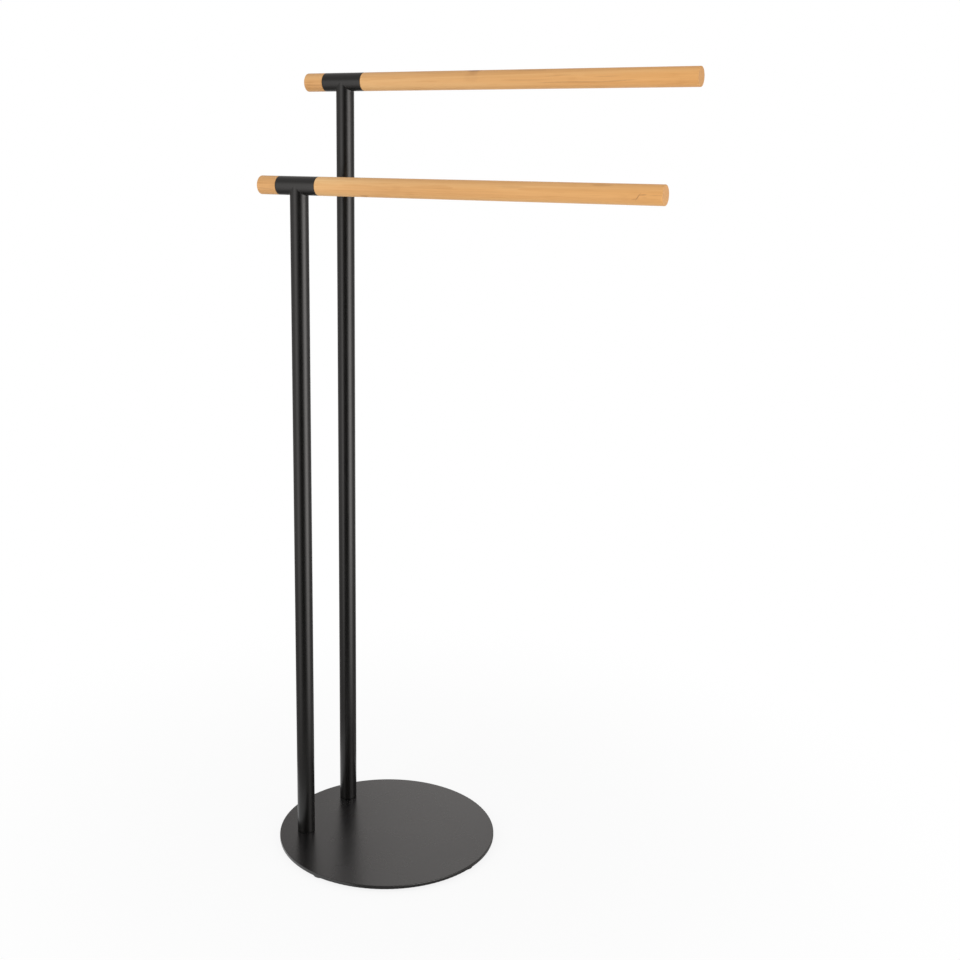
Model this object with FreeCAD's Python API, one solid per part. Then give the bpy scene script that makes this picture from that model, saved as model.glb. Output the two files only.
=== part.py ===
"""Freestanding towel stand with two bamboo arms on steel posts, in millimetres.

A round steel plate stands on four rubber feet. Two posts of round tube stand on the plate, one in
front of the other, each bolted from below. A short sleeve of the same tube is welded across the top
of each post. A long bamboo arm and a short bamboo end plug into the sleeve from its two sides, and a
threaded stud draws them together, so that bamboo and sleeve run on as one rod.

+Z is up, +X runs along the arms to their free ends and -Y is the front. The origin is on the floor,
under the centre of the plate.
"""
import FreeCAD, Part
import os

# Base plate and its feet
PLATE_DIAMETER = 250.0
PLATE_THICKNESS = 4.0
PLATE_EDGE = 0.6  # rounding of the rim
FOOT_DIAMETER = 20.0
FOOT_THICKNESS = 3.0
FOOT_EDGE = 0.6  # rounding of the edge that meets the floor
FOOT_INSET = 1.0  # from the plate's rim to the foot
FOOT_TURN = -10.0  # degrees from the arms' direction to the right foot

# Tube of the posts and the sleeves
TUBE_DIAMETER = 20.0
TUBE_WALL = 1.2
TUBE_EDGE = 0.4  # rounding of the sleeve's outer end edges
SLEEVE_LENGTH = 49.0

# Where the posts stand and how high the arms lie
POST_SETBACK = 43.0  # from the plate's left rim to the line of the posts
POST_SPACING = 94.0
FRONT_ARM_HEIGHT = 752.0  # floor to the arm's axis
REAR_ARM_HEIGHT = 863.0
SADDLE_TRIM = 3.0  # the post's two horns end this far below the arm's axis

# Bamboo
ARM_LENGTH = 380.5  # in sight, from the sleeve to the free end
END_LENGTH = 23.5  # in sight, on the other side of the sleeve
ARM_END_ROUND = 1.0
SHOULDER_CHAMFER = 0.8
SPIGOT_GAP = 9.0  # between the two spigots in the middle of the sleeve
SPIGOT_CHAMFER = 1.0

# Threaded parts
THREAD_DIAMETER = 6.0
THREAD_CHAMFER = 0.7
THREAD_CLEARANCE = 0.3  # around a thread that only passes through
INSERT_DIAMETER = 9.5
INSERT_LENGTH = 13.0
INSERT_GROOVE = 0.6
INSERT_GROOVES = 4
STUD_OVERRUN = 5.0  # how far the stud comes out behind each insert
PLUG_LENGTH = 18.0
PLUG_CHAMFER = 1.0
SCREW_LENGTH = 16.0
SCREW_HEAD_DIAMETER = 12.6
SCREW_HEAD_SINK = 0.2  # the head's flat lies this far inside the plate
HEX_SOCKET_WIDTH = 4.0  # across flats
HEX_SOCKET_DEPTH = 2.2

# Play around a turned piece in its bore, and between the parts of a weld
FIT_PLAY = 0.05
END_PLAY = 1.0  # beyond the stud at the bottom of its bore

POST_X = POST_SETBACK - PLATE_DIAMETER / 2
UP = FreeCAD.Vector(0, 0, 1)
ALONG_ARM = FreeCAD.Vector(1, 0, 0)
PLATE_TOP = FOOT_THICKNESS + PLATE_THICKNESS
TUBE_RADIUS = TUBE_DIAMETER / 2
BORE_RADIUS = TUBE_RADIUS - TUBE_WALL
INNER_RADIUS = BORE_RADIUS - FIT_PLAY  # of what sits in the tube
THREAD_RADIUS = THREAD_DIAMETER / 2
SPIGOT_LENGTH = (SLEEVE_LENGTH - SPIGOT_GAP) / 2


def turned(outline):
    """Turn a closed outline of (place along the axis, radius) corners about the Z axis."""
    corners = [FreeCAD.Vector(radius, 0, along) for along, radius in outline]
    face = Part.Face(Part.makePolygon(corners + corners[:1]))
    return face.revolve(FreeCAD.Vector(), UP, 360)


def rims(shape, along, radius):
    """The round edges of a turned shape that have this radius, at this place on its axis."""
    found = []
    for edge in shape.Edges:
        if isinstance(edge.Curve, Part.Circle):
            at_place = abs(edge.Curve.Center.z - along) < 1e-6
            if at_place and abs(edge.Curve.Radius - radius) < 1e-6:
                found.append(edge)
    return found


def laid(shape, start, direction):
    """Lay a shape that was turned about Z along a direction, from a start point."""
    shape.Placement = FreeCAD.Placement(start, FreeCAD.Rotation(UP, direction))
    return shape


def base_plate(post_places):
    """The round plate, with a countersunk hole under each post."""
    radius = PLATE_DIAMETER / 2
    plate = turned([(FOOT_THICKNESS, 0), (FOOT_THICKNESS, radius), (PLATE_TOP, radius), (PLATE_TOP, 0)])
    rim = rims(plate, FOOT_THICKNESS, radius) + rims(plate, PLATE_TOP, radius)
    plate = plate.makeFillet(PLATE_EDGE, rim)
    hole_radius = THREAD_RADIUS + THREAD_CLEARANCE
    mouth_radius = SCREW_HEAD_DIAMETER / 2 + SCREW_HEAD_SINK + FIT_PLAY
    for place in post_places:
        mouth = FreeCAD.Vector(place.x, place.y, FOOT_THICKNESS)
        plate = plate.cut(Part.makeCylinder(hole_radius, PLATE_THICKNESS, mouth, UP))
        depth = mouth_radius - hole_radius
        plate = plate.cut(Part.makeCone(mouth_radius, hole_radius, depth, mouth, UP))
    return plate


def foot(quarter):
    """One self-adhesive rubber foot under the plate's rim, a quarter turn on from the one before."""
    radius = FOOT_DIAMETER / 2
    disc = turned([(0, 0), (0, radius), (FOOT_THICKNESS, radius), (FOOT_THICKNESS, 0)])
    disc = disc.makeFillet(FOOT_EDGE, rims(disc, 0, radius))
    out = FreeCAD.Vector(PLATE_DIAMETER / 2 - FOOT_INSET - radius, 0, 0)
    turn = FreeCAD.Rotation(UP, FOOT_TURN + 90 * quarter)
    return laid(disc, turn.multVec(out), UP)


def post(place, arm_height):
    """A tube from the plate up to the sleeve, whose end is cut to a saddle that fits the sleeve."""
    top = arm_height - SADDLE_TRIM
    wall = (BORE_RADIUS, TUBE_RADIUS)
    tube = turned([(PLATE_TOP, wall[0]), (PLATE_TOP, wall[1]), (top, wall[1]), (top, wall[0])])
    tube = laid(tube, place, UP)
    sleeve_start = FreeCAD.Vector(place.x - SLEEVE_LENGTH / 2, place.y, arm_height)
    saddle = Part.makeCylinder(TUBE_RADIUS + FIT_PLAY, SLEEVE_LENGTH, sleeve_start, ALONG_ARM)
    return tube.cut(saddle)


def post_plug(place):
    """The threaded slug in the foot of a post, flush with the tube's end."""
    radius = INNER_RADIUS
    bore = THREAD_RADIUS + FIT_PLAY
    top = PLATE_TOP + PLUG_LENGTH
    slug = turned([
        (PLATE_TOP, bore + PLUG_CHAMFER),
        (PLATE_TOP, radius),
        (top - PLUG_CHAMFER, radius),
        (top, radius - PLUG_CHAMFER),
        (top, bore),
        (PLATE_TOP + PLUG_CHAMFER, bore),
    ])
    return laid(slug, place, UP)


def base_screw(place):
    """The countersunk hexagon socket screw that holds a post from below."""
    head_radius = SCREW_HEAD_DIAMETER / 2
    under_head = head_radius - THREAD_RADIUS
    screw = turned([
        (0, 0),
        (0, head_radius),
        (under_head, THREAD_RADIUS),
        (SCREW_LENGTH - THREAD_CHAMFER, THREAD_RADIUS),
        (SCREW_LENGTH, THREAD_RADIUS - THREAD_CHAMFER),
        (SCREW_LENGTH, 0),
    ])
    corner = FreeCAD.Vector(HEX_SOCKET_WIDTH / 3 ** 0.5, 0, 0)
    corners = [FreeCAD.Rotation(UP, 60 * side).multVec(corner) for side in range(6)]
    hexagon = Part.Face(Part.makePolygon(corners + corners[:1]))
    screw = screw.cut(hexagon.extrude(UP * HEX_SOCKET_DEPTH))
    return laid(screw, place + UP * (FOOT_THICKNESS + SCREW_HEAD_SINK), UP)


def sleeve(centre):
    """The cross tube on a post's top."""
    half = SLEEVE_LENGTH / 2
    tube = turned([(-half, BORE_RADIUS), (-half, TUBE_RADIUS), (half, TUBE_RADIUS), (half, BORE_RADIUS)])
    tube = tube.makeFillet(TUBE_EDGE, rims(tube, -half, TUBE_RADIUS) + rims(tube, half, TUBE_RADIUS))
    return laid(tube, centre, ALONG_ARM)


def bamboo(centre, direction, length):
    """A bamboo rod as thick as the sleeve, whose thinner spigot reaches into it from one side."""
    shoulder = SLEEVE_LENGTH / 2
    tip = shoulder - SPIGOT_LENGTH
    end = shoulder + length
    insert_bore = INSERT_DIAMETER / 2 + FIT_PLAY
    stud_bore = THREAD_RADIUS + THREAD_CLEARANCE
    insert_bottom = tip + INSERT_LENGTH
    stud_bottom = insert_bottom + STUD_OVERRUN + END_PLAY
    rod = turned([
        (tip, insert_bore),
        (tip, INNER_RADIUS - SPIGOT_CHAMFER),
        (tip + SPIGOT_CHAMFER, INNER_RADIUS),
        (shoulder, INNER_RADIUS),
        (shoulder, TUBE_RADIUS - SHOULDER_CHAMFER),
        (shoulder + SHOULDER_CHAMFER, TUBE_RADIUS),
        (end, TUBE_RADIUS),
        (end, 0),
        (stud_bottom, 0),
        (stud_bottom, stud_bore),
        (insert_bottom, stud_bore),
        (insert_bottom, insert_bore),
    ])
    rod = rod.makeFillet(ARM_END_ROUND, rims(rod, end, TUBE_RADIUS))
    return laid(rod, centre, direction)


def threaded_insert(centre, direction):
    """The grooved brass bush in a spigot, flush with the spigot's end."""
    tip = SLEEVE_LENGTH / 2 - SPIGOT_LENGTH
    outer = INSERT_DIAMETER / 2
    bore = THREAD_RADIUS + FIT_PLAY
    inner = outer - INSERT_GROOVE
    width = INSERT_LENGTH / (2 * INSERT_GROOVES + 1)
    outline = [(tip, bore)]
    for ring in range(INSERT_GROOVES + 1):
        start = tip + 2 * ring * width
        outline += [(start, outer), (start + width, outer)]
        if ring < INSERT_GROOVES:
            outline += [(start + width, inner), (start + 2 * width, inner)]
    outline.append((tip + INSERT_LENGTH, bore))
    return laid(turned(outline), centre, direction)


def joining_stud(centre):
    """The threaded stud through the sleeve that draws both bamboo pieces against it."""
    half = SPIGOT_GAP / 2 + INSERT_LENGTH + STUD_OVERRUN
    stud = turned([
        (-half, 0),
        (-half, THREAD_RADIUS - THREAD_CHAMFER),
        (-half + THREAD_CHAMFER, THREAD_RADIUS),
        (half - THREAD_CHAMFER, THREAD_RADIUS),
        (half, THREAD_RADIUS - THREAD_CHAMFER),
        (half, 0),
    ])
    return laid(stud, centre, ALONG_ARM)


def build():
    """Every piece of the stand, by the name of its node."""
    places = {
        "front": FreeCAD.Vector(POST_X, -POST_SPACING / 2, 0),
        "rear": FreeCAD.Vector(POST_X, POST_SPACING / 2, 0),
    }
    heights = {"front": FRONT_ARM_HEIGHT, "rear": REAR_ARM_HEIGHT}
    parts = {"base_plate": base_plate(places.values())}
    for quarter, side in enumerate(("right", "rear", "left", "front")):
        parts[f"{side}_foot"] = foot(quarter)
    for side, place in places.items():
        centre = place + UP * heights[side]
        parts[f"{side}_post"] = post(place, heights[side])
        parts[f"{side}_post_plug"] = post_plug(place)
        parts[f"{side}_base_screw"] = base_screw(place)
        parts[f"{side}_sleeve"] = sleeve(centre)
        parts[f"{side}_bamboo_arm"] = bamboo(centre, ALONG_ARM, ARM_LENGTH)
        parts[f"{side}_bamboo_end"] = bamboo(centre, -ALONG_ARM, END_LENGTH)
        parts[f"{side}_arm_insert"] = threaded_insert(centre, ALONG_ARM)
        parts[f"{side}_end_insert"] = threaded_insert(centre, -ALONG_ARM)
        parts[f"{side}_joining_stud"] = joining_stud(centre)
    return parts


os.makedirs("parts", exist_ok=True)
for node, shape in build().items():
    shape.exportStep(f"parts/{node}.step")
    print(f"{node}: {len(shape.Solids)} solid, {shape.Volume / 1000:.2f} cm3, valid {shape.isValid()}")
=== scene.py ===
"""Freestanding towel stand, laid out as a Blender add-on.

A round base plate on four rubber feet carries two coated posts. A sleeve is
welded across the top of each post and holds a bamboo rod in two pieces. The
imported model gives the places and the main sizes, in metres.
"""

import math

import bmesh
import bpy
from bpy.props import FloatProperty, FloatVectorProperty, IntProperty, PointerProperty
from mathutils import Matrix, Vector


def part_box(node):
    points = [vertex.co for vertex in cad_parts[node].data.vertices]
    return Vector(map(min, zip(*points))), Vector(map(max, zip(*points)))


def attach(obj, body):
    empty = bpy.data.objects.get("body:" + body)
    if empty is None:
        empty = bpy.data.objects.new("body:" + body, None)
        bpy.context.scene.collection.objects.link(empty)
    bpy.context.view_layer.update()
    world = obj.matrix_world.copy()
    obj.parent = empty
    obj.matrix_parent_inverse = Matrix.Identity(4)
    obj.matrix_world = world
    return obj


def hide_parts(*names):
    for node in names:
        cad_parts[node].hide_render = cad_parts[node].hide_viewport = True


bl_info = {
    "name": "Freestanding Towel Stand",
    "version": (1, 0, 0),
    "blender": (4, 5, 0),
    "location": "3D View > Sidebar > Towel Stand",
    "description": "Builds a towel stand with two posts and bamboo rods around its packed model",
    "category": "Object",
}

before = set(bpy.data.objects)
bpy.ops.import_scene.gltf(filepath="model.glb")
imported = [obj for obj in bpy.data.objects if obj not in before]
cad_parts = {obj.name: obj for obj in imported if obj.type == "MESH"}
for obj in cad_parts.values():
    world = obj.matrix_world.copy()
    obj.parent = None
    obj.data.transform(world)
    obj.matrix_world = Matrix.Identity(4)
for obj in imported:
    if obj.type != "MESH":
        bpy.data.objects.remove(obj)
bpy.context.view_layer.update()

MM = 0.001
ROOT = "root"
STANDS = ("front", "rear")
FEET = ("right", "rear", "left", "front")

# A point counts as on a rim when it is less than a hair away from it.
HAIR = 0.02 * MM
MERGE_DISTANCE = HAIR / 10
SHARP_ANGLE = math.radians(40)

# Rings of faces on tubes and rods: how far the first and the last one lie from
# the ends, and about how far apart the others are.
POST_FOOT_RING = 2 * MM
POST_NECK_RING = 3 * MM
POST_STEP = 20 * MM
SLEEVE_END_RING = 1.5 * MM
SLEEVE_STEP = 6 * MM
ROD_END_RING = 2.5 * MM
ROD_STEP = 10 * MM

# Rings of a foot, as shares of its radius: where its hollow is full depth and
# where it ends, and one on the upper face.
HOLLOW_INNER = 0.52
HOLLOW_OUTER = 0.62
FOOT_TOP_RING = 0.5

# Weld: how deep its edges and its root lie in the tubes, how far its edges run
# on past the fillet, and the number of steps across the fillet.
WELD_EDGE_DEPTH = 0.12 * MM
WELD_ROOT_DEPTH = 0.6 * MM
WELD_MARGIN = 0.5 * MM
WELD_STEPS = 8

# Spigot of a rod: radii of the bores for the insert and the stud, room past
# the stud's end, and rounding of the tip.
INSERT_BORE = 4.8 * MM
STUD_BORE = 3.3 * MM
STUD_ROOM = 1 * MM
SPIGOT_EDGE = 1 * MM


# ------------------------------------------------------------------ places


def middle(node):
    """The centre of a node's box."""
    low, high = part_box(node)
    return (low + high) / 2


def half_depth(node):
    """Half of a node's depth, which is the radius of a post or rod."""
    low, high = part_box(node)
    return (high.y - low.y) / 2


TUBE_RADIUS = half_depth("front_post")
ROD_RADIUS = half_depth("front_bamboo_arm")


# ---------------------------------------------------------------- settings


def length(name, description, default):
    return FloatProperty(
        name=name, description=description, default=default, min=0.0,
        unit="LENGTH", subtype="DISTANCE", precision=4,
    )


def share(name, description, default):
    return FloatProperty(
        name=name, description=description, default=default, min=0.0, max=1.0,
        subtype="FACTOR",
    )


def colour(name, description, default):
    return FloatVectorProperty(
        name=name, description=description, default=default, min=0.0, max=1.0,
        size=3, subtype="COLOR",
    )


def angle(name, description, degrees):
    return FloatProperty(
        name=name, description=description, default=math.radians(degrees),
        unit="ROTATION", subtype="ANGLE",
    )


def power(name, description, watts):
    return FloatProperty(
        name=name, description=description, default=watts, min=0.0, unit="POWER",
    )


class TubeSettings(bpy.types.PropertyGroup):
    """Posts, sleeves and the welds between them"""

    wall: length("Wall", "Thickness of the tube wall", 1.2 * MM)
    rim: length("Rim", "Rounding of the cut tube ends", 0.4 * MM)
    weld: length("Weld", "Leg of the smoothed weld under a sleeve", 1.6 * MM)
    gap: length("Gap", "Room between a post's saddle and its sleeve", 0.05 * MM)
    around: IntProperty(
        name="Faces Around", description="Faces round a tube, rod or foot",
        default=128, min=24, max=256,
    )
    coat: colour("Coat", "Colour of the powder coat", (0.0042, 0.0040, 0.0037))
    gloss: share("Roughness", "Roughness of the coat on the tubes", 0.3)


class RodSettings(bpy.types.PropertyGroup):
    """Bamboo rods, turned from glued strips"""

    spigot: length("Spigot Radius", "Radius of the end inside a sleeve", 8.75 * MM)
    shoulder: length("Shoulder", "Rounding of the edge next to a sleeve", 0.8 * MM)
    end: length("End Rounding", "Rounding of the edge round a free end", 0.7 * MM)
    strip: length("Strip Width", "Width of one glued strip", 5.2 * MM)
    layer: length("Layer Thickness", "Thickness of one glued layer", 6.6 * MM)
    pale: colour("Pale", "Colour of the lightest fibres", (0.80, 0.50, 0.222))
    middle: colour("Middle", "Colour of most of the wood", (0.685, 0.371, 0.142))
    dark: colour("Dark", "Colour of the darkest fibres", (0.48, 0.225, 0.068))
    # Far End: the wood's own redder tone there, made paler as painted light that makes up for
    # shade on that end.
    far_end_tone_and_light: colour("Far End", "Redder colour towards an arm's far end", (0.88, 0.425, 0.117))
    knot: colour("Knot", "Colour of knots and marks", (0.30, 0.125, 0.04))
    # Cut end colours: the end grain's own darker tone, darkened further as painted shade so that
    # the face under the fill light looks no paler than the side.
    cut: colour("Cut End", "Colour of the wood on a cut end", (0.66, 0.335, 0.112))
    cut_fibre_and_shade: colour("Cut Fibres", "Colour of the dots on a cut end", (0.46, 0.21, 0.066))
    gloss: share("Roughness", "Roughness of the matt varnish", 0.48)


class BaseSettings(bpy.types.PropertyGroup):
    """Base plate and feet"""

    coat: colour("Coat", "Colour of the plate's powder coat", (0.0066, 0.0062, 0.0064))
    gloss: share("Roughness", "Roughness of the coat on the plate", 0.27)
    foot_edge: length("Foot Edge", "Rounding of a foot's lower edge", 0.6 * MM)
    taper: length("Foot Taper", "How far a foot's side draws in down to the floor", 1.4 * MM)
    hollow: length("Foot Hollow", "Depth of the hollow under a foot", 0.6 * MM)
    rubber: colour("Rubber", "Colour of the feet", (0.018, 0.018, 0.018))


class FastenerSettings(bpy.types.PropertyGroup):
    """Screws, studs, plugs and inserts"""

    zinc: colour("Zinc", "Colour of the zinc plating", (0.60, 0.61, 0.63))
    brass: colour("Brass", "Colour of the turned brass", (0.78, 0.57, 0.22))


class StudioSettings(bpy.types.PropertyGroup):
    """Floor, light and camera"""

    floor: length("Floor", "Radius of the floor", 4.0)
    surround: FloatProperty(
        name="Surround", description="Brightness of the room on matt surfaces",
        default=0.75, min=0.0,
    )
    lift: share("Floor Lift", "Share of plain white in the floor near the stand", 0.86)
    key: power("Key Light", "Power of the light at the front left", 12.5)
    fill: power("Fill Light", "Power of the light at the right", 5.0)
    camera: FloatVectorProperty(
        name="Camera", description="Place of the camera",
        default=(0.7215, -1.2576, 0.798), unit="LENGTH", subtype="TRANSLATION",
    )
    heading: angle("Heading", "Turn of the camera about the vertical", 28.0)
    tilt: angle("Tilt", "How far the camera looks down", 11.48)
    roll: angle("Roll", "Turn of the camera about its line of sight", -0.46)
    lens: FloatProperty(
        name="Lens", description="Focal length", default=50.29,
        unit="CAMERA", subtype="DISTANCE_CAMERA",
    )
    shift: FloatVectorProperty(
        name="Shift", description="Shift of the picture, right and up",
        default=(0.0521, -0.0677), size=2,
    )


class TowelStandSettings(bpy.types.PropertyGroup):
    """All that a user would change on the towel stand"""

    tubes: PointerProperty(type=TubeSettings)
    rods: PointerProperty(type=RodSettings)
    base: PointerProperty(type=BaseSettings)
    fasteners: PointerProperty(type=FastenerSettings)
    studio: PointerProperty(type=StudioSettings)


# ------------------------------------------------------------ shaping tools


def ring_of(bm, radius, around, height):
    """A circle of edges round the Z axis."""
    bmesh.ops.create_circle(bm, cap_ends=False, radius=radius, segments=around)
    bmesh.ops.translate(bm, verts=bm.verts, vec=(0.0, 0.0, height))
    return list(bm.edges)


def drawn_on(bm, ring, place):
    """Extrudes a ring of edges and puts each new point where place() says."""
    grown = bmesh.ops.extrude_edge_only(bm, edges=ring)["geom"]
    points = {part for part in grown if isinstance(part, bmesh.types.BMVert)}
    for point in points:
        point.co = place(point.co.copy())
    edges = (part for part in grown if isinstance(part, bmesh.types.BMEdge))
    return [edge for edge in edges if set(edge.verts) <= points]


def at_height(height):
    """A place() for drawn_on that moves a point straight up or down."""
    return lambda point: Vector((point.x, point.y, height))


def spun(places, axis, around, closed=False):
    """Spins a line through those places once round an axis through the origin."""
    bm = bmesh.new()
    points = [bm.verts.new(place) for place in places]
    nexts = points[1:] + (points[:1] if closed else [])
    lines = [bm.edges.new(pair) for pair in zip(points, nexts)]
    bmesh.ops.spin(
        bm, geom=points + lines, cent=(0, 0, 0), axis=axis, dvec=(0, 0, 0),
        angle=math.tau, steps=around, use_merge=True,
    )
    bmesh.ops.remove_doubles(bm, verts=bm.verts, dist=MERGE_DISTANCE)
    return bm


def turned(outline, around, closed=False):
    """Spins an outline of (along, radius) round the X axis."""
    places = [(along, 0.0, radius) for along, radius in outline]
    return spun(places, (1, 0, 0), around, closed)


def round_rim(bm, along, radius, width, segments, axis=0):
    """Rounds the circle of edges at that place along an axis: 0 is X and 2 is Z."""

    def on_rim(vert):
        across = [value for index, value in enumerate(vert.co) if index != axis]
        off = math.hypot(*across) - radius
        return abs(vert.co[axis] - along) < HAIR and abs(off) < HAIR

    rim = [edge for edge in bm.edges if all(map(on_rim, edge.verts))]
    bmesh.ops.bevel(
        bm, geom=rim, offset=width, offset_type="OFFSET", segments=segments,
        profile=0.5, affect="EDGES", material=-1,
    )


def stations(start, stop, step):
    """Places from start to stop, both included, at about that step."""
    count = max(1, round(abs(stop - start) / step))
    inner = [start + (stop - start) * i / count for i in range(1, count)]
    return [start, *inner, stop]


def object_of(name, bm, material):
    """Makes an object of a mesh and puts it into the scene."""
    mesh = bpy.data.meshes.new(name)
    bm.to_mesh(mesh)
    bm.free()
    mesh.shade_smooth()
    mesh.materials.append(material)
    piece = bpy.data.objects.new(name, mesh)
    bpy.context.scene.collection.objects.link(piece)
    return piece


def finished(name, bm, material, slot, *replaced):
    """Makes a piece of the stand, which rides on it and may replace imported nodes."""
    bmesh.ops.recalc_face_normals(bm, faces=bm.faces)
    piece = object_of(name, bm, material)
    piece.data.set_sharp_from_angle(angle=SHARP_ANGLE)
    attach(piece, ROOT)
    if replaced:
        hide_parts(*replaced)


def restyle(material, *nodes):
    """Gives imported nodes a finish."""
    for node in nodes:
        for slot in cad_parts[node].material_slots:
            slot.material = material


# ------------------------------------------------------------- finish tools


class Finish:
    """Adds shader nodes to the emptied node tree of a material or world."""

    def __init__(self, owner):
        owner.use_nodes = True
        self.tree = owner.node_tree
        self.tree.nodes.clear()

    def feed(self, node, inputs):
        """Gives a node's inputs their numbers, or links them to other nodes."""
        for socket, value in inputs.items():
            if isinstance(value, bpy.types.NodeSocket):
                self.tree.links.new(value, node.inputs[socket])
            else:
                node.inputs[socket].default_value = value

    def add(self, kind, inputs=None, **settings):
        node = self.tree.nodes.new("ShaderNode" + kind)
        for name, value in settings.items():
            setattr(node, name, value)
        self.feed(node, inputs or {})
        return node

    def maths(self, kind, *inputs):
        """The result of a Math node."""
        return self.add("Math", dict(enumerate(inputs)), operation=kind).outputs[0]

    def spread(self, value, low, high, start=0.0, stop=1.0, smooth=False):
        """Maps low..high to start..stop, and holds it there."""
        node = self.add(
            "MapRange", {0: value, 1: low, 2: high, 3: start, 4: stop},
            interpolation_type="SMOOTHSTEP" if smooth else "LINEAR",
        )
        return node.outputs[0]

    def object_place(self):
        """A point's place on the object, which is its place in the frame."""
        return self.add("TexCoord").outputs["Object"]

    def axes(self, vector):
        """The X, Y and Z of a vector, by those names."""
        return self.add("SeparateXYZ", {0: vector}).outputs

    def placed(self, vector, location=(0, 0, 0), turn=(0, 0, 0), scale=(1, 1, 1), kind="POINT"):
        """Scales, turns and moves a vector, or undoes these with kind TEXTURE."""
        node = self.add(
            "Mapping",
            {"Vector": vector, "Location": location, "Rotation": turn, "Scale": scale},
            vector_type=kind,
        )
        return node.outputs[0]

    def grain(self, vector, scale, detail=2.0, seed=0.0):
        """Noise from 0 to 1, with its own scale in each direction."""
        stretched = self.placed(vector, (seed, seed * 0.37, seed * 0.71), scale=scale)
        node = self.add(
            "TexNoise",
            {"Vector": stretched, "Scale": 1.0, "Detail": detail, "Roughness": 0.5},
        )
        return node.outputs[0]

    def speckle(self, vector, scale, detail):
        """Noise from 0 to 1, with one scale in all directions."""
        return self.grain(vector, (scale,) * 3, detail)

    def between(self, factor, first, second):
        """A number mixed from two numbers."""
        return self.add("Mix", {0: factor, 2: first, 3: second}).outputs[0]

    def blended(self, factor, first, second):
        """A colour mixed from two colours."""
        node = self.add("Mix", {0: factor, 6: first, 7: second}, data_type="RGBA")
        return node.outputs[2]

    def relief(self, height, depth):
        """A bump of that depth for heights from 0 to 1."""
        node = self.add("Bump", {"Strength": 1.0, "Distance": depth, "Height": height})
        return node.outputs[0]


def opaque(rgb, shade=1.0):
    """A colour with its alpha, made darker or paler by a factor."""
    return (*(value * shade for value in rgb), 1.0)


def surface(name, inputs):
    """A material with a Principled shader, and the tools to refine it."""
    material = bpy.data.materials.new(name)
    finish = Finish(material)
    shader = finish.add("BsdfPrincipled", inputs)
    finish.add("OutputMaterial", {"Surface": shader.outputs[0]})
    return material, finish, shader


# Powder coat: index of refraction, size of one grain of the orange peel, its
# depth, and size of the patches in which tone and gloss change.
TUBE_PEEL = {"ior": 1.5, "grain": 1.3 * MM, "depth": 0.0015 * MM, "patch": 45 * MM}
PLATE_PEEL = {"ior": 1.6, "grain": 0.35 * MM, "depth": 0.006 * MM, "patch": 60 * MM}

# How much the patches change the coat's gloss, and its colour as a factor.
COAT_GLOSS_CHANGE = 0.025
COAT_DARKER, COAT_PALER = 0.88, 1.12


def powder_coat(name, rgb, gloss, ior, grain, depth, patch):
    """Satin powder coat: fine orange-peel relief and a faintly uneven gloss."""
    material, finish, shader = surface(
        name, {"Base Color": opaque(rgb), "IOR": ior, "Roughness": gloss}
    )
    place = finish.object_place()
    patches = finish.speckle(place, 1 / patch, detail=3.0)
    peel = finish.speckle(place, 1 / grain, detail=1.0)
    tone = finish.blended(
        finish.spread(patches, 0.2, 0.8), opaque(rgb, COAT_DARKER), opaque(rgb, COAT_PALER)
    )
    smoother, rougher = gloss - COAT_GLOSS_CHANGE, gloss + COAT_GLOSS_CHANGE
    finish.feed(shader, {
        "Base Color": tone,
        "Roughness": finish.spread(patches, 0.25, 0.75, smoother, rougher),
        "Normal": finish.relief(peel, depth),
    })
    return material


def tube_coat(tubes):
    """The coat on posts, sleeves and welds, made once."""
    known = bpy.data.materials.get("tube_coat")
    return known or powder_coat("tube_coat", tubes.coat, tubes.gloss, **TUBE_PEEL)


# Rubber: roughness, how much paler its dusty spots are, their scale, and the
# scale and depth of its moulded texture.
RUBBER_GLOSS = 0.75
DUST_PALER = 1.9
DUST_SCALE = 180.0
MOULD_SCALE = 2500.0
MOULD_DEPTH = 0.03 * MM


def foot_rubber(rgb):
    """Matt moulded rubber with a fine texture."""
    material, finish, shader = surface(
        "foot_rubber", {"Base Color": opaque(rgb), "Roughness": RUBBER_GLOSS}
    )
    place = finish.object_place()
    dust = finish.speckle(place, DUST_SCALE, detail=3.0)
    texture = finish.speckle(place, MOULD_SCALE, detail=2.0)
    finish.feed(shader, {
        "Base Color": finish.blended(dust, opaque(rgb), opaque(rgb, DUST_PALER)),
        "Normal": finish.relief(texture, MOULD_DEPTH),
    })
    return material


# Bright metal: roughness, how its clouds make it smoother or rougher, how dark
# they are, their scale, the scales of the tool's lines round an upright and a
# lying piece, and the depth of these lines.
ZINC_GLOSS, BRASS_GLOSS = 0.3, 0.26
CLOUD_SMOOTHER, CLOUD_ROUGHER = 0.05, 0.08
CLOUD_DARKER = 0.86
CLOUD_SCALE = 300.0
UPRIGHT_LINES = (60.0, 60.0, 4000.0)
LYING_LINES = (4000.0, 60.0, 60.0)
LINE_DEPTH = 0.01 * MM


def bright_metal(name, rgb, gloss, lines):
    """Bright metal with the fine lines that the tool leaves round it."""
    material, finish, shader = surface(
        name, {"Base Color": opaque(rgb), "Metallic": 1.0, "Roughness": gloss}
    )
    place = finish.object_place()
    cloud = finish.speckle(place, CLOUD_SCALE, detail=3.0)
    turning = finish.grain(place, lines)
    smoother, rougher = gloss - CLOUD_SMOOTHER, gloss + CLOUD_ROUGHER
    finish.feed(shader, {
        "Base Color": finish.blended(cloud, opaque(rgb, CLOUD_DARKER), opaque(rgb)),
        "Roughness": finish.spread(cloud, 0.3, 0.7, smoother, rougher),
        "Normal": finish.relief(turning, LINE_DEPTH),
    })
    return material


# ------------------------------------------------------------------- bamboo


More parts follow.
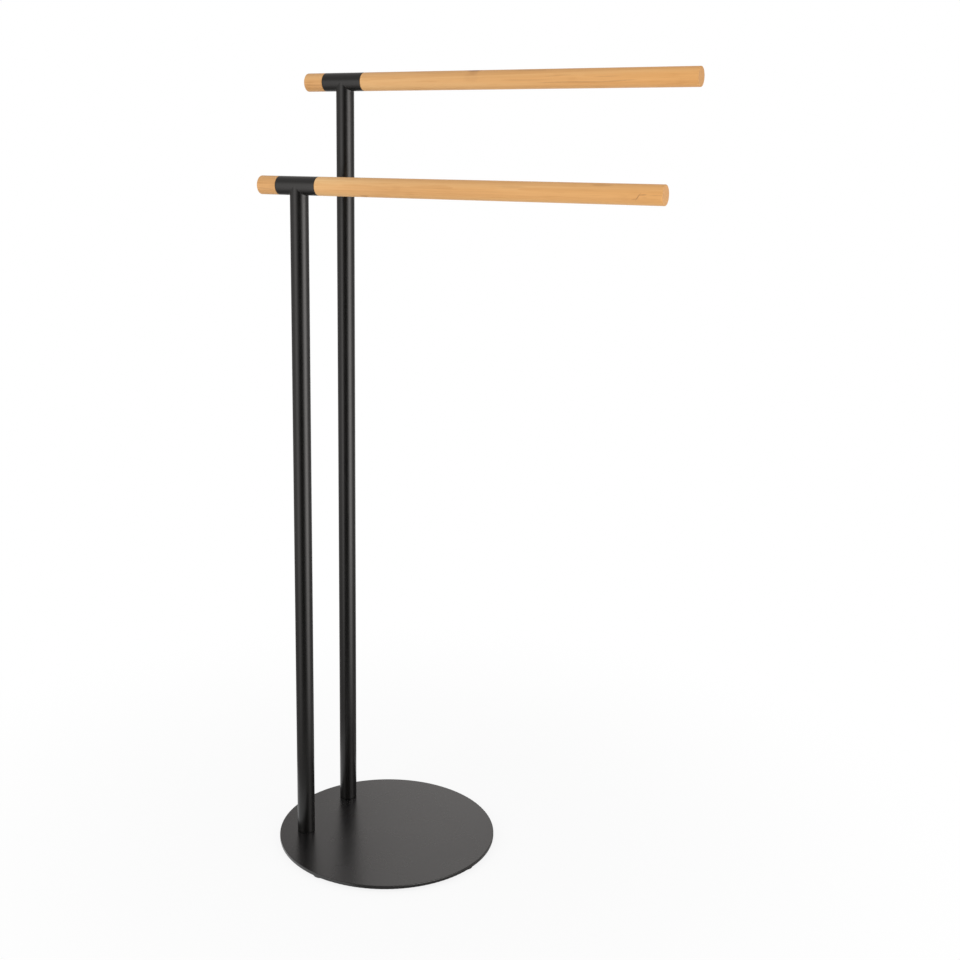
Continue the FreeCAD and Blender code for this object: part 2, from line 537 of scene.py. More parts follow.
# Marks in the wood that show at the front: place along the X axis, height over
# the rod's axis, half length, half width (all in mm), lean in degrees and
# strength.
REAR_ARM_MARKS = (
    (79.0, 9.3, 6.0, 1.0, 0.0, 0.75),
    (80.0, 7.0, 4.0, 2.6, 0.0, 0.22),
    (78.5, 2.5, 7.0, 5.0, 0.0, 0.08),
    (141.0, -1.3, 22.0, 0.45, 0.0, 0.20),
    (192.0, -4.0, 31.0, 0.5, 0.0, 0.36),
    (238.0, -3.2, 18.0, 0.45, -2.7, 0.34),
    (176.0, 2.6, 12.0, 0.5, -3.0, 0.22),
    (230.0, 1.2, 12.0, 0.45, -2.0, 0.20),
    (146.0, 8.6, 16.0, 0.5, 0.0, 0.20),
)
FRONT_ARM_MARKS = (
    (295.8, -4.0, 2.6, 0.42, -10.0, 0.44),
    (299.3, -1.6, 3.8, 0.40, -52.0, 0.62),
    (303.6, 0.4, 3.6, 0.40, -4.0, 0.55),
    (305.5, -2.2, 2.2, 0.35, 0.0, 0.20),
    (317.5, 0.2, 5.6, 0.4, 0.0, 0.20),
    (169.0, 4.5, 12.0, 1.1, 0.0, 0.16),
    (262.0, 8.3, 9.0, 0.8, 0.0, 0.30),
    (2.0, -8.6, 4.0, 0.7, 0.0, 0.45),
)
END_MARKS = ((-119.0, -3.4, 9.0, 0.5, 4.0, 0.30),)

# How deep a mark goes into the wood, in mm, how many times its own size its
# soft edge reaches, and over which share of the way in from there it darkens.
MARK_DEPTH = 5.0
MARK_EDGE = 1.6
MARK_SOFTNESS = 0.55

# Seed of the grain, lean of the strips in degrees, marks, warmth of the far end (its redder
# tone, with painted light in it), and how much paler the wood is near the sleeve.
ROD_GRAIN = {
    ("front", "arm"): (3.0, -0.4, FRONT_ARM_MARKS, 0.60, 0.26),
    ("front", "end"): (7.0, 0.8, END_MARKS, 0.0, -0.14),
    ("rear", "arm"): (12.0, 1.2, REAR_ARM_MARKS, 0.85, 0.08),
    ("rear", "end"): (17.0, -0.6, END_MARKS, 0.0, 0.0),
}

# Tone of the wood, from 0, dark, to 1, pale: a strip's least tone, how much
# strips differ, and how much short fibres and nodes take off.
STRIP_TONE = 0.35
STRIP_CONTRAST = 0.30
FIBRE_DARKER = 0.28
NODE_DARKER = 0.06

# Nodes: number on a metre of strip, and how far a node's blurred edge and its
# even core reach from its middle, as shares of the way to the next one.
NODES_PER_METRE = 4.1
NODE_EDGE, NODE_CORE = 0.03, 0.004

# Streaks: scale along, across and up, detail, and weight in the tone.
STREAKS = (
    ((1.6, 190.0, 190.0), 2.0, 0.62),
    ((4.0, 700.0, 700.0), 3.0, 0.42),
    ((7.0, 45.0, 45.0), 2.0, 0.38),
)

# Scales of the other noise, along, across and up: the waves of the fibres, short fibres, the
# fine grain that can be felt, the redder wood with its painted light, and the ragged edges of
# the marks.
WAVE_SCALE = (9.0, 20.0, 20.0)
SHORT_SCALE = (26.0, 1500.0, 1500.0)
FINE_SCALE = (8.0, 1100.0, 1100.0)
FAR_TONE_AND_LIGHT_SCALE = (5.0, 40.0, 40.0)
RAGGED_SCALE = (300.0, 600.0, 600.0)

# Varnish: index of refraction, and how fibres make it smoother or rougher.
VARNISH_IOR = 1.45
FIBRE_SMOOTHER, FIBRE_ROUGHER = 0.05, 0.12

# How far the fibres wave to the side and up, depth of the grain's relief, and
# how far short fibres sink into it.
WAVE_SIDE, WAVE_UP = 0.7 * MM, 0.9 * MM
GRAIN_DEPTH = 0.02 * MM
FIBRE_SINK = 0.5

# Places along the X axis: where the tone near the sleeve is full and where it ends, and where
# the redder wood with its painted light starts and is full.
SLEEVE_TONE_FULL, SLEEVE_TONE_END = -0.05, 0.03
FAR_TONE_AND_LIGHT_START, FAR_TONE_AND_LIGHT_FULL = 0.02, 0.33

# Cut ends: scale of the dots, how far the cut's colours, which hold painted shade, cover the
# wood's own, and how squarely a face points along the rod where they start and are full.
DOT_SCALE = 1100.0
CUT_AND_SHADE_COVER = 0.8
CUT_START, CUT_FULL = 0.75, 0.97


def waving(finish, place, seed):
    """Long soft waves keep the fibres from running dead straight."""
    wave = finish.grain(place, WAVE_SCALE, detail=1.0, seed=seed)
    bend = finish.add(
        "CombineXYZ",
        {"Y": finish.spread(wave, 0.0, 1.0, -WAVE_SIDE, WAVE_SIDE),
         "Z": finish.spread(wave, 0.0, 1.0, WAVE_UP, -WAVE_UP)},
    )
    moved = finish.add("VectorMath", {0: place, 1: bend.outputs[0]}, operation="ADD")
    return moved.outputs[0]


def glued_strips(finish, rods, fibres, seed, lean):
    """Each strip's own tone, and 1 where a node of its own crosses it.

    The seed turns the strips about the rod's axis by less than 20 degrees. A
    scale of 0 along the rod makes each strip as long as the rod.
    """
    along = finish.placed(fibres, turn=(math.radians(seed * 31 % 20), math.radians(lean), 0))
    cells = finish.placed(along, (0.0, 0.5, seed), scale=(0.0, 1 / rods.layer, 1 / rods.strip))
    cell = finish.add("VectorMath", {0: cells}, operation="FLOOR").outputs[0]
    strip = finish.add("TexWhiteNoise", {"Vector": cell}, noise_dimensions="3D")
    chance = strip.outputs["Value"]
    tone = finish.maths("MULTIPLY_ADD", chance, STRIP_CONTRAST, STRIP_TONE)
    count = finish.maths("MULTIPLY_ADD", finish.axes(along)["X"], NODES_PER_METRE, chance)
    offset = finish.maths("SUBTRACT", finish.maths("FRACT", count), 0.5)
    away = finish.maths("ABSOLUTE", offset)
    node = finish.spread(away, NODE_EDGE, NODE_CORE, smooth=True)
    return tone, node


def marked(finish, fibres, place, seed, marks):
    """How much of the knots' colour the marks give each point."""
    rough = finish.grain(place, RAGGED_SCALE, seed=seed)
    stain = 0.0
    for x, z, half_length, half_width, slope, strength in marks:
        y = -math.sqrt(max((ROD_RADIUS / MM) ** 2 - z * z, 1.0))
        spot = finish.placed(
            fibres, Vector((x, y, z)) * MM, (0, math.radians(slope), 0),
            Vector((half_length, MARK_DEPTH, half_width)) * MM * MARK_EDGE, kind="TEXTURE",
        )
        fade = finish.add("TexGradient", {0: spot}, gradient_type="SPHERICAL").outputs["Fac"]
        ragged = finish.maths(
            "MULTIPLY", finish.spread(fade, 0.0, MARK_SOFTNESS, smooth=True),
            finish.spread(rough, 0.2, 0.6, 0.6, 1.0),
        )
        stain = finish.maths("MAXIMUM", stain, finish.maths("MULTIPLY", ragged, strength))
    return stain


def with_cut_ends_and_shade(finish, rods, place, wood):
    """The wood, but on a cut end the fibres show as fine dots, in colours darkened with painted
    shade.
    """
    flat = finish.placed(place, scale=(0, 1, 1))
    dots = finish.add("TexVoronoi", {"Vector": flat, "Scale": DOT_SCALE})
    dot = finish.spread(dots.outputs["Distance"], 0.18, 0.42, 0.75, 0.0, smooth=True)
    dotted_and_shaded = finish.blended(dot, opaque(rods.cut), opaque(rods.cut_fibre_and_shade))
    facing = finish.axes(finish.add("NewGeometry").outputs["Normal"])["X"]
    cut = finish.spread(finish.maths("ABSOLUTE", facing), CUT_START, CUT_FULL)
    return finish.blended(finish.maths("MULTIPLY", cut, CUT_AND_SHADE_COVER), wood, dotted_and_shaded)


def bamboo(name, rods, axis, seed, lean, marks, far_tone_and_light, paler):
    """Varnished bamboo, laminated from strips that run along the X axis."""
    material, finish, shader = surface(name, {"IOR": VARNISH_IOR, "Roughness": rods.gloss})
    place = finish.placed(finish.object_place(), (0.0, -axis.y, -axis.z))
    fibres = waving(finish, place, seed)
    tone, node = glued_strips(finish, rods, fibres, seed, lean)
    for scale, detail, weight in STREAKS:
        streak = finish.grain(fibres, scale, detail, seed)
        tone = finish.maths("MULTIPLY_ADD", finish.maths("SUBTRACT", streak, 0.5), weight, tone)
    short = finish.grain(fibres, SHORT_SCALE, detail=1.0, seed=seed + 5)
    dash = finish.spread(short, 0.60, 0.76, smooth=True)
    tone = finish.maths("MULTIPLY_ADD", dash, -FIBRE_DARKER, tone)
    tone = finish.maths("MULTIPLY_ADD", node, -NODE_DARKER, tone)
    place_x = finish.axes(place)["X"]
    beside = finish.spread(place_x, SLEEVE_TONE_END, SLEEVE_TONE_FULL)
    tone = finish.maths("MULTIPLY_ADD", beside, paler, tone)

    ramp = finish.add("ValToRGB", {0: tone})
    stops = ramp.color_ramp.elements
    stops[0].position, stops[0].color = 0.0, opaque(rods.dark)
    stops[1].position, stops[1].color = 1.0, opaque(rods.pale)
    stops.new(0.5).color = opaque(rods.middle)

    # Towards the far end the wood turns redder and paler: partly its own tone, partly painted
    # light that makes up for shade there.
    far = finish.spread(place_x, FAR_TONE_AND_LIGHT_START, FAR_TONE_AND_LIGHT_FULL)
    drift = finish.grain(place, FAR_TONE_AND_LIGHT_SCALE, seed=seed + 9)
    redder_with_light = finish.maths("MULTIPLY", finish.maths("MULTIPLY", far, drift), far_tone_and_light)
    wood = finish.blended(redder_with_light, ramp.outputs["Color"], opaque(rods.far_end_tone_and_light))
    stain = marked(finish, fibres, place, seed, marks)
    wood = finish.blended(stain, wood, opaque(rods.knot))

    fine = finish.grain(fibres, FINE_SCALE, seed=seed)
    height = finish.maths("MULTIPLY_ADD", dash, -FIBRE_SINK, fine)
    smoother, rougher = rods.gloss - FIBRE_SMOOTHER, rods.gloss + FIBRE_ROUGHER
    finish.feed(shader, {
        "Base Color": with_cut_ends_and_shade(finish, rods, place, wood),
        "Roughness": finish.spread(short, 0.3, 0.75, smoother, rougher),
        "Normal": finish.relief(height, GRAIN_DEPTH),
    })
    return material


# ------------------------------------------------------------------- shapes


def foot_mesh(base, around, radius, bottom, top):
    """A rubber disc round the Z axis, drawn in to the floor, hollow underneath."""
    lower_radius = radius - base.taper
    outline = [
        (bottom + base.hollow, 0.0),
        (bottom + base.hollow, radius * HOLLOW_INNER),
        (bottom, radius * HOLLOW_OUTER),
        (bottom, lower_radius),
        (top, radius),
        (top, radius * FOOT_TOP_RING),
        (top, 0.0),
    ]
    bm = turned(outline, around)
    round_rim(bm, bottom, lower_radius, base.foot_edge, segments=4)
    upright = Matrix.Rotation(math.radians(-90), 3, "Y")
    bmesh.ops.rotate(bm, verts=bm.verts, cent=(0, 0, 0), matrix=upright)
    return bm


def post_mesh(tubes, bottom, top, sleeve_height):
    """A tube along the Z axis, with its top cut to a saddle under the sleeve."""
    outer = TUBE_RADIUS
    inner = outer - tubes.wall

    def saddle(point):
        drop = math.sqrt(max(outer**2 - point.y**2, 0.0))
        point.z = min(sleeve_height - drop - tubes.gap, top)
        return point

    def narrowed(point):
        return saddle(Vector((point.x, point.y, 0.0)) * (inner / outer))

    bm = bmesh.new()
    start = ring_of(bm, outer, tubes.around, bottom)
    ring = start
    neck = sleeve_height - outer - POST_NECK_RING
    for height in stations(bottom + POST_FOOT_RING, neck, POST_STEP):
        ring = drawn_on(bm, ring, at_height(height))
    ring = drawn_on(bm, ring, saddle)
    ring = drawn_on(bm, ring, narrowed)
    ring = drawn_on(bm, ring, at_height(bottom))
    bmesh.ops.bridge_loops(bm, edges=ring + start)
    round_rim(bm, bottom, outer, tubes.rim, segments=3, axis=2)
    return bm


def sleeve_mesh(tubes, left, right):
    """A short tube along the X axis, with all its edges rounded."""
    outer = TUBE_RADIUS
    inner = outer - tubes.wall
    rings = stations(left + SLEEVE_END_RING, right - SLEEVE_END_RING, SLEEVE_STEP)
    outline = [(left, inner), (left, outer)]
    outline += [(x, outer) for x in rings]
    outline += [(right, outer), (right, inner)]
    bm = turned(outline, tubes.around, closed=True)
    for x in (left, right):
        round_rim(bm, x, outer, tubes.rim, segments=3)
        round_rim(bm, x, inner, tubes.rim / 2, segments=2)
    return bm


def weld_section(tubes, turn, notch):
    """The weld's closed section where the seam has gone round by that turn.

    The seam of two tubes of one radius lies on both. In a plane along both
    tubes it is a square corner, so the weld is a hollow fillet in that corner,
    and its leg shrinks to nothing where the tubes touch side by side. All
    heights are from the sleeve's axis.
    """
    radius = TUBE_RADIUS
    cos, sin = math.cos(turn), math.sin(turn)
    corner = Vector((radius * cos, radius * sin, -radius * abs(cos)))
    between = math.acos(min(1.0, sin * sin))
    leg = tubes.weld * math.tan(between / 2)
    outward = math.copysign(1.0, cos)

    under = radius - WELD_EDGE_DEPTH
    foot = min(corner.z - leg, notch) - WELD_MARGIN
    section = [Vector((under * cos, under * sin, foot))]
    for i in range(WELD_STEPS + 1):
        s = i / WELD_STEPS
        section.append(corner + Vector((outward * leg * s * s, 0.0, -leg * (1 - s) ** 2)))
    reach = corner.x + outward * (leg + WELD_MARGIN * abs(cos))
    height = -math.sqrt(max(under**2 - (under * sin) ** 2, 0.0))
    section.append(Vector((reach, under * sin, height)))
    root = radius - WELD_ROOT_DEPTH
    section.append(Vector((root * cos, root * sin, -root * abs(cos))))
    return section


def weld_mesh(tubes, notch):
    """The weld round the Z axis: a grid rolled up to a closed ring."""
    bm = bmesh.new()
    count = len(weld_section(tubes, 0.0, notch))
    bmesh.ops.create_grid(bm, x_segments=count, y_segments=tubes.around, size=1.0)
    for vert in bm.verts:
        turn = math.pi * (vert.co.y + 1.0)
        step = round((vert.co.x + 1.0) / 2 * count) % count
        vert.co = weld_section(tubes, turn, notch)[step]
    bmesh.ops.remove_doubles(bm, verts=bm.verts, dist=MERGE_DISTANCE)
    bmesh.ops.dissolve_degenerate(bm, edges=bm.edges, dist=MERGE_DISTANCE)
    return bm


def rod_mesh(rods, around, tip, shoulder, free, seat, bottom):
    """One bamboo piece along the X axis: spigot with its bores, shoulder, rod."""
    way = math.copysign(1.0, free - shoulder)
    rings = stations(shoulder + way * ROD_END_RING, free - way * ROD_END_RING, ROD_STEP)
    outline = [
        (bottom, 0.0),
        (bottom, STUD_BORE),
        (seat, STUD_BORE),
        (seat, INSERT_BORE),
        (tip, INSERT_BORE),
        (tip, rods.spigot),
        (shoulder, rods.spigot),
        (shoulder, ROD_RADIUS),
    ]
    outline += [(x, ROD_RADIUS) for x in rings]
    outline += [(free, ROD_RADIUS * part) for part in (1.0, 0.7, 0.35, 0.0)]
    bm = turned(outline, around)
    round_rim(bm, free, ROD_RADIUS, rods.end, segments=4)
    round_rim(bm, shoulder, ROD_RADIUS, rods.shoulder, segments=2)
    round_rim(bm, tip, rods.spigot, SPIGOT_EDGE, segments=2)
    return bm


# ---------------------------------------------------------------- operators


class TOWELSTAND_OT_base_plate(bpy.types.Operator):
    """Give the base plate its fine satin powder coat"""

    bl_idname = "towel_stand.base_plate"
    bl_label = "Base Plate"

    def execute(self, context):
        base = context.scene.towel_stand.base
        restyle(powder_coat("plate_coat", base.coat, base.gloss, **PLATE_PEEL), "base_plate")
        return {"FINISHED"}


class TOWELSTAND_OT_feet(bpy.types.Operator):
    """Turn the four rubber feet, hollow underneath"""

    bl_idname = "towel_stand.feet"
    bl_label = "Feet"

    def execute(self, context):
        stand = context.scene.towel_stand
        rubber = foot_rubber(stand.base.rubber)
        for place in FEET:
            node = place + "_foot"
            low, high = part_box(node)
            spot = middle(node)
            radius = (high.x - low.x) / 2
            bm = foot_mesh(stand.base, stand.tubes.around, radius, low.z, high.z)
            bmesh.ops.translate(bm, verts=bm.verts, vec=(spot.x, spot.y, 0.0))
            finished(place + "_foot_disc", bm, rubber, "foot_rubber", node)
        return {"FINISHED"}


class TOWELSTAND_OT_posts(bpy.types.Operator):
    """Draw the two posts, each with its top cut to a saddle"""

    bl_idname = "towel_stand.posts"
    bl_label = "Posts"

    def execute(self, context):
        tubes = context.scene.towel_stand.tubes
        coat = tube_coat(tubes)
        for side in STANDS:
            node = side + "_post"
            low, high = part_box(node)
            spot, sleeve = middle(node), middle(side + "_sleeve")
            bm = post_mesh(tubes, low.z, high.z, sleeve.z)
            bmesh.ops.translate(bm, verts=bm.verts, vec=(spot.x, spot.y, 0.0))
            finished(side + "_post_tube", bm, coat, "black_powder_coat", node)
        return {"FINISHED"}


class TOWELSTAND_OT_sleeves(bpy.types.Operator):
    """Turn the two sleeves that lie across the posts"""

    bl_idname = "towel_stand.sleeves"
    bl_label = "Sleeves"

    def execute(self, context):
        tubes = context.scene.towel_stand.tubes
        coat = tube_coat(tubes)
        for side in STANDS:
            node = side + "_sleeve"
            low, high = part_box(node)
            spot = middle(node)
            bm = sleeve_mesh(tubes, low.x, high.x)
            bmesh.ops.translate(bm, verts=bm.verts, vec=(0.0, spot.y, spot.z))
            finished(side + "_sleeve_tube", bm, coat, "black_powder_coat", node)
        return {"FINISHED"}


class TOWELSTAND_OT_welds(bpy.types.Operator):
    """Lay the smoothed weld between each post and its sleeve"""

    bl_idname = "towel_stand.welds"
    bl_label = "Welds"

    def execute(self, context):
        tubes = context.scene.towel_stand.tubes
        coat = tube_coat(tubes)
        for side in STANDS:
            post, sleeve = middle(side + "_post"), middle(side + "_sleeve")
            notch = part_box(side + "_post")[1].z
            bm = weld_mesh(tubes, notch - sleeve.z)
            bmesh.ops.translate(bm, verts=bm.verts, vec=(post.x, post.y, sleeve.z))
            finished(side + "_weld", bm, coat, "black_powder_coat")
        return {"FINISHED"}


class TOWELSTAND_OT_rods(bpy.types.Operator):
    """Turn the four bamboo pieces with their spigots"""

    bl_idname = "towel_stand.rods"
    bl_label = "Bamboo Rods"

    def execute(self, context):
        stand = context.scene.towel_stand
        rods = stand.rods
        for side in STANDS:
            for part in ("arm", "end"):
                node = f"{side}_bamboo_{part}"
                low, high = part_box(node)
                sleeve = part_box(side + "_sleeve")
                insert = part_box(f"{side}_{part}_insert")
                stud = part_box(side + "_joining_stud")
                if part == "arm":
                    tip, shoulder, free = low.x, sleeve[1].x, high.x
                    seat, bottom = insert[1].x, stud[1].x + STUD_ROOM
                else:
                    tip, shoulder, free = high.x, sleeve[0].x, low.x
                    seat, bottom = insert[0].x, stud[0].x - STUD_ROOM
                bm = rod_mesh(rods, stand.tubes.around, tip, shoulder, free, seat, bottom)
                axis = middle(node)
                bmesh.ops.translate(bm, verts=bm.verts, vec=(0.0, axis.y, axis.z))
                wood = bamboo(f"{side}_{part}_bamboo", rods, axis, *ROD_GRAIN[side, part])
                finished(f"{side}_{part}_rod", bm, wood, "bamboo", node)
        return {"FINISHED"}


class TOWELSTAND_OT_fasteners(bpy.types.Operator):
    """Give screws, plugs and studs their zinc, and the inserts their brass"""

    bl_idname = "towel_stand.fasteners"
    bl_label = "Fasteners"

    def execute(self, context):
        colours = context.scene.towel_stand.fasteners
        upright = bright_metal("zinc_plating_upright", colours.zinc, ZINC_GLOSS, UPRIGHT_LINES)
        lying = bright_metal("zinc_plating_lying", colours.zinc, ZINC_GLOSS, LYING_LINES)
        brass = bright_metal("turned_brass", colours.brass, BRASS_GLOSS, LYING_LINES)
        for side in STANDS:
            restyle(upright, side + "_post_plug", side + "_base_screw")
            restyle(lying, side + "_joining_stud")
            restyle(brass, side + "_arm_insert", side + "_end_insert")
        return {"FINISHED"}


# -------------------------------------------------------------------- stage


WHITE = (1.0, 1.0, 1.0, 1.0)
FLOOR_PAINT = (0.9, 0.9, 0.9, 1.0)
FLOOR_FACES = 96

# How far from its centre the floor starts to turn white, and is plain white.
FLOOR_START, FLOOR_WHITE = 0.16, 0.75

# Brightness of the light tent by the angle from its front, in degrees, to the
# right as seen from there. The seam is at the back left.
TENT_LIGHT = (
    (-150, 0.40), (-125, 0.40), (-99, 0.60), (-76, 0.85), (-56, 1.90), (-43, 1.45),
    (-28, 0.42), (-13, 0.02), (2, 0.03), (13, 0.12), (26, 1.12), (40, 3.60), (55, 4.50),
    (70, 2.15), (86, 0.75), (100, 0.45), (125, 0.40), (142, 0.70), (157, 1.02),
    (170, 0.95), (182, 0.70), (196, 0.50), (210, 0.40),
)
TENT_SEAM = -150.0

# The front's angle about the Z axis, the brightness that the curve's 1 stands
# for, the colour of the light, and the brightness of the tent's floor and top.
TENT_FRONT = -57.0
TENT_BRIGHTEST = 5.0
TENT_COLOUR = (1.0, 0.965, 0.945, 1.0)
TENT_FLOOR_LIGHT = 0.36
TENT_TOP_LIGHT = 0.60

# The tent's outline as radius and height, from the inner edge of its floor up
# to its top.
TENT_RADIUS = 0.66
TENT_OUTLINE = (
    (0.17, 0.0005), (0.56, 0.0005), (0.63, 0.03), (TENT_RADIUS, 0.1),
    (TENT_RADIUS, 1.6), (0.5, 1.75), (0.02, 1.8),
)
TENT_FACES = 64

# How the tent's light changes: radius up to which it is the floor's, share of
# the wall's light at its foot, height at which that is whole, and heights
# between which it turns into the top's.
TENT_FLOOR_RADIUS = 0.18
TENT_FOOT_SHARE, TENT_FOOT_HEIGHT = 0.6, 0.24
TENT_TOP_START, TENT_TOP_FULL = 0.90, 1.25

# Soft lights: side length and place, and the point that both of them face.
KEY_SIZE, KEY_PLACE = 1.3, (-0.95, -1.7, 0.7)
FILL_SIZE, FILL_PLACE = 1.2, (1.6, -0.9, 0.5)
LIGHT_TARGET = (0.05, 0.0, 0.7)

# Camera: width of its sensor in mm, and the nearest and farthest it sees.
SENSOR_WIDTH = 36.0
CLIP_START, CLIP_END = 0.05, 50.0


def seen(finish):
    """1 for rays from the camera, a reflection or glass, and 0 for others."""
    path = finish.add("LightPath").outputs
    mirrored = finish.maths("MAXIMUM", path["Is Glossy Ray"], path["Is Transmission Ray"])
    return finish.maths("MAXIMUM", path["Is Camera Ray"], mirrored)


def white_surround(studio):
    """A white background that lights matt surfaces at a plain level."""
    world = bpy.data.worlds.new("studio_surround")
    finish = Finish(world)
    level = finish.spread(seen(finish), 0.0, 1.0, studio.surround, 1.0)
    background = finish.add("Background", {"Color": WHITE, "Strength": level})
    finish.add("OutputWorld", {"Surface": background.outputs[0]})
    return world


def floor_paint(studio):
    """Pale matt floor that runs into the white background and keeps shadows."""
    material = bpy.data.materials.new("pale_floor")
    finish = Finish(material)
    out = finish.add("VectorMath", {0: finish.object_place()}, operation="LENGTH")
    lift = finish.spread(
        out.outputs["Value"], FLOOR_START, FLOOR_WHITE, studio.lift, 1.0, smooth=True
    )
    share_of_white = finish.maths("MULTIPLY", lift, seen(finish))
    paint = finish.add("BsdfDiffuse", {"Color": FLOOR_PAINT})
    white = finish.add("Emission", {"Color": WHITE, "Strength": 1.0})
    mixed = finish.add(
        "MixShader", {0: share_of_white, 1: paint.outputs[0], 2: white.outputs[0]}
    )
    finish.add("OutputMaterial", {"Surface": mixed.outputs[0]})
    return material


def tent_light(centre):
    """Glow of the light tent: by direction on its wall, dim on floor and top."""
    material = bpy.data.materials.new("light_tent")
    finish = Finish(material)
    turn = math.radians(180.0 - TENT_SEAM - TENT_FRONT)
    place = finish.placed(finish.placed(finish.object_place(), -centre), turn=(0, 0, turn))
    axes = finish.axes(place)
    bearing = finish.maths("ARCTAN2", axes["Y"], axes["X"])
    curve = finish.add("FloatCurve", {"Value": finish.spread(bearing, -math.pi, math.pi)})
    points = curve.mapping.curves[0].points
    while len(points) < len(TENT_LIGHT):
        points.new(0.5, 0.5)
    for point, (degrees, level) in zip(points, TENT_LIGHT):
        point.location = ((degrees - TENT_SEAM) / 360.0, level / TENT_BRIGHTEST)
    curve.mapping.update()
    wall = finish.maths("MULTIPLY", curve.outputs[0], TENT_BRIGHTEST)

    foot = finish.spread(axes["Z"], 0.0, TENT_FOOT_HEIGHT, TENT_FOOT_SHARE, 1.0, smooth=True)
    squares = [finish.maths("POWER", axes[name], 2.0) for name in "XY"]
    out = finish.maths("SQRT", finish.maths("ADD", *squares))
    on_wall = finish.spread(out, TENT_FLOOR_RADIUS, TENT_RADIUS, smooth=True)
    below_top = finish.spread(axes["Z"], TENT_TOP_START, TENT_TOP_FULL, 1.0, 0.0, smooth=True)
    level = finish.maths("MULTIPLY", wall, foot)
    level = finish.between(on_wall, TENT_FLOOR_LIGHT, level)
    level = finish.between(below_top, TENT_TOP_LIGHT, level)
    glow = finish.add("Emission", {"Color": TENT_COLOUR, "Strength": level})
    finish.add("OutputMaterial", {"Surface": glow.outputs[0]})
    material.cycles.emission_sampling = "NONE"
    return material


def pale_floor(studio):
    """A flat disc that the stand stands on."""
    bm = bmesh.new()
    bmesh.ops.create_circle(bm, cap_ends=True, radius=studio.floor, segments=FLOOR_FACES)
    object_of("floor", bm, floor_paint(studio))


def light_tent():
    """A glowing tent round the posts that only reflections see."""
    centre = (middle("front_post") + middle("rear_post")) / 2
    centre.z = 0.0
    places = [(out, 0.0, up) for out, up in TENT_OUTLINE]
    bm = spun(places, (0, 0, 1), TENT_FACES)
    bmesh.ops.translate(bm, verts=bm.verts, vec=centre)
    tent = object_of("light_tent", bm, tent_light(centre))
    tent.visible_camera = tent.visible_diffuse = tent.visible_shadow = False
    tent.visible_transmission = tent.visible_volume_scatter = False


def soft_light(name, watts, size, place):
    """A square soft light that no camera or reflection sees."""
    lamp = bpy.data.lights.new(name, "AREA")
    lamp.shape, lamp.size, lamp.energy = "SQUARE", size, watts
    light = bpy.data.objects.new(name, lamp)
    aim = Vector(LIGHT_TARGET) - Vector(place)
    light.location = place
    light.rotation_euler = aim.to_track_quat("-Z", "Y").to_euler()
    light.visible_camera = light.visible_glossy = False
    bpy.context.scene.collection.objects.link(light)


def aimed_camera(studio):
    """The camera at its place, turned as the settings say."""
    lens = bpy.data.cameras.new("camera")
    lens.sensor_fit, lens.sensor_width, lens.lens = "HORIZONTAL", SENSOR_WIDTH, studio.lens
    lens.shift_x, lens.shift_y = studio.shift
    lens.clip_start, lens.clip_end = CLIP_START, CLIP_END
    camera = bpy.data.objects.new("camera", lens)
    bpy.context.scene.collection.objects.link(camera)
    turn = (
        Matrix.Rotation(studio.heading, 4, "Z")
        @ Matrix.Rotation(math.pi / 2 - studio.tilt, 4, "X")
        @ Matrix.Rotation(-studio.roll, 4, "Z")
    )
    camera.matrix_world = Matrix.Translation(studio.camera) @ turn
    return camera


class TOWELSTAND_OT_studio(bpy.types.Operator):
    """Set up the pale floor, the soft light and the camera"""

    bl_idname = "towel_stand.studio"
    bl_label = "Studio"

    def execute(self, context):
        scene = context.scene
        studio = scene.towel_stand.studio
        scene.world = white_surround(studio)
        scene.view_settings.view_transform = "Standard"
        pale_floor(studio)
        light_tent()
        soft_light("key_light", studio.key, KEY_SIZE, KEY_PLACE)
        soft_light("fill_light", studio.fill, FILL_SIZE, FILL_PLACE)
        scene.camera = aimed_camera(studio)
        return {"FINISHED"}


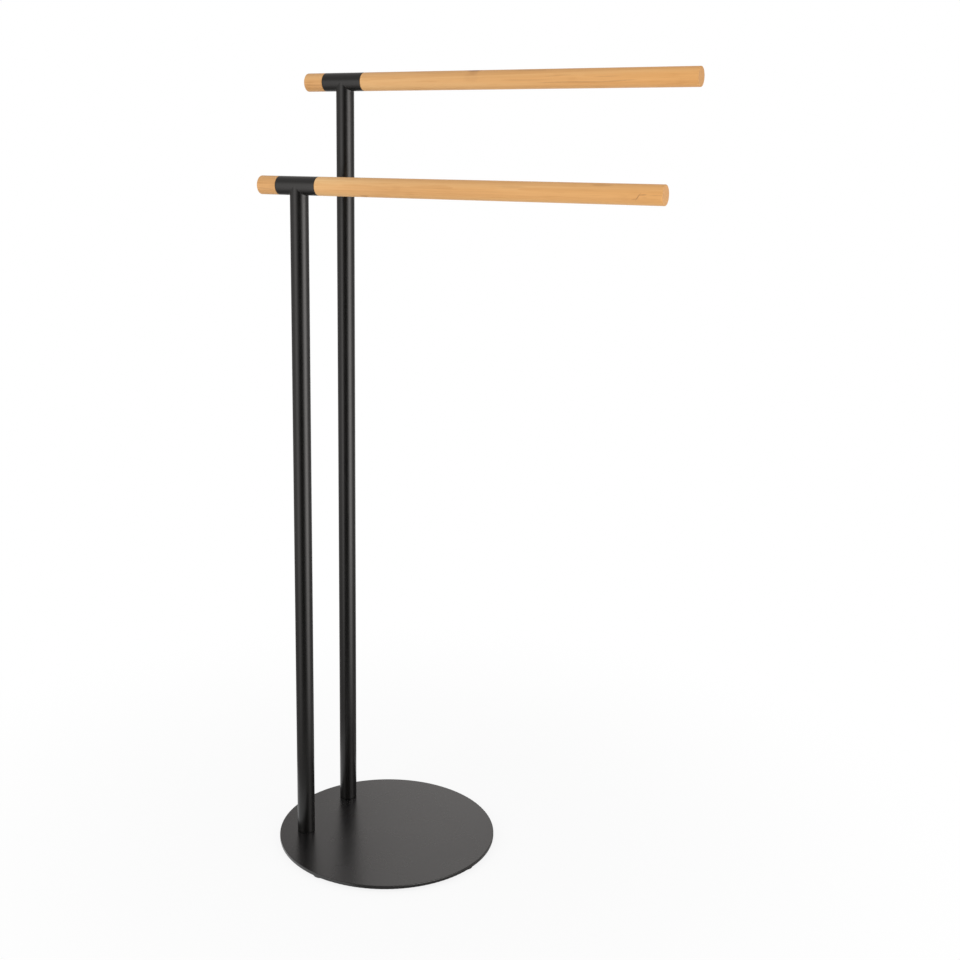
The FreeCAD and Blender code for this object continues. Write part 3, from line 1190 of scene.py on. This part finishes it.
# -------------------------------------------------------------------- panel


class TOWELSTAND_PT_panel(bpy.types.Panel):
    """Lists the pieces of the towel stand and their settings"""

    bl_label = "Towel Stand"
    bl_idname = "TOWELSTAND_PT_panel"
    bl_space_type = "VIEW_3D"
    bl_region_type = "UI"
    bl_category = "Towel Stand"

    def draw(self, context):
        stand = context.scene.towel_stand
        for title, group, operators in (
            ("Base", stand.base, (TOWELSTAND_OT_base_plate, TOWELSTAND_OT_feet)),
            ("Tubes", stand.tubes,
             (TOWELSTAND_OT_posts, TOWELSTAND_OT_sleeves, TOWELSTAND_OT_welds)),
            ("Bamboo", stand.rods, (TOWELSTAND_OT_rods,)),
            ("Fasteners", stand.fasteners, (TOWELSTAND_OT_fasteners,)),
            ("Studio", stand.studio, (TOWELSTAND_OT_studio,)),
        ):
            box = self.layout.box()
            box.label(text=title)
            for name in type(group).__annotations__:
                box.prop(group, name)
            for operator in operators:
                box.operator(operator.bl_idname)


CLASSES = (
    TubeSettings,
    RodSettings,
    BaseSettings,
    FastenerSettings,
    StudioSettings,
    TowelStandSettings,
    TOWELSTAND_OT_base_plate,
    TOWELSTAND_OT_feet,
    TOWELSTAND_OT_posts,
    TOWELSTAND_OT_sleeves,
    TOWELSTAND_OT_welds,
    TOWELSTAND_OT_rods,
    TOWELSTAND_OT_fasteners,
    TOWELSTAND_OT_studio,
    TOWELSTAND_PT_panel,
)


def register():
    for cls in CLASSES:
        bpy.utils.register_class(cls)
    bpy.types.Scene.towel_stand = PointerProperty(type=TowelStandSettings)


def unregister():
    del bpy.types.Scene.towel_stand
    for cls in reversed(CLASSES):
        bpy.utils.unregister_class(cls)


def main():
    register()
    bpy.ops.towel_stand.base_plate()
    bpy.ops.towel_stand.feet()
    bpy.ops.towel_stand.posts()
    bpy.ops.towel_stand.sleeves()
    bpy.ops.towel_stand.welds()
    bpy.ops.towel_stand.rods()
    bpy.ops.towel_stand.fasteners()
    bpy.ops.towel_stand.studio()


if __name__ == "__main__":
    main()
